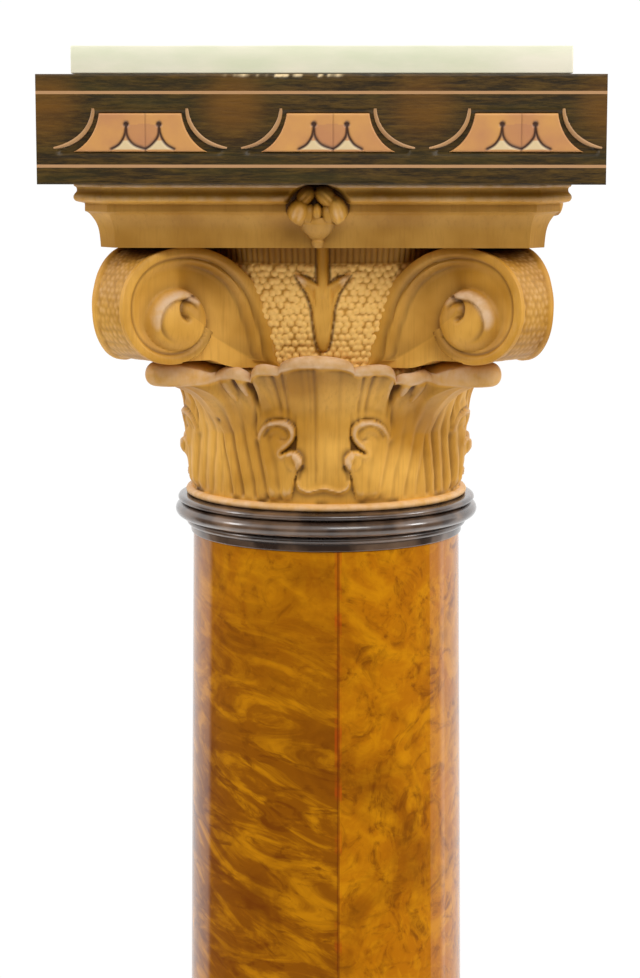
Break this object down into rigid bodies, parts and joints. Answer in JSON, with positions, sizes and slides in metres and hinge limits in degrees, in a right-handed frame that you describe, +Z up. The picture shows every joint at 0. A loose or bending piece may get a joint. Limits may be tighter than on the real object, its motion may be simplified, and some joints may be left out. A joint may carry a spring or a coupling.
{
  "type": "column pedestal",
  "caption": "Round wooden column pedestal with a carved leaf and scroll capital, a square top board and a stone slab, to stand an object on.",
  "frame": {"origin": "middle of the foot board's underside, on the floor", "axes": "+Z up along the column's axis, -Y towards the front"},
  "size_m": [0.316, 0.316, 1.1229],
  "materials": {
    "stone": "polished cream stone",
    "dark_board": "dark stained, worn polish",
    "carved_wood": "carved limewood, waxed",
    "black_wood": "ebonised and polished",
    "burl": "burl veneer, French polished"
  },
  "bodies": {
    "root": {"top_slab": "stone", "top_board": "dark_board", "abacus_moulding": "carved_wood", "flower_front": "carved_wood", "flower_right": "carved_wood", "flower_back": "carved_wood", "flower_left": "carved_wood", "scroll_front_left": "carved_wood", "scroll_front_right": "carved_wood", "scroll_back_right": "carved_wood", "scroll_back_left": "carved_wood", "capital_bell": "carved_wood", "neck_ring": "black_wood", "shaft": "burl", "base_moulding": "black_wood", "plinth_block": "burl", "foot_board": "black_wood"}
  },
  "joints": []
}
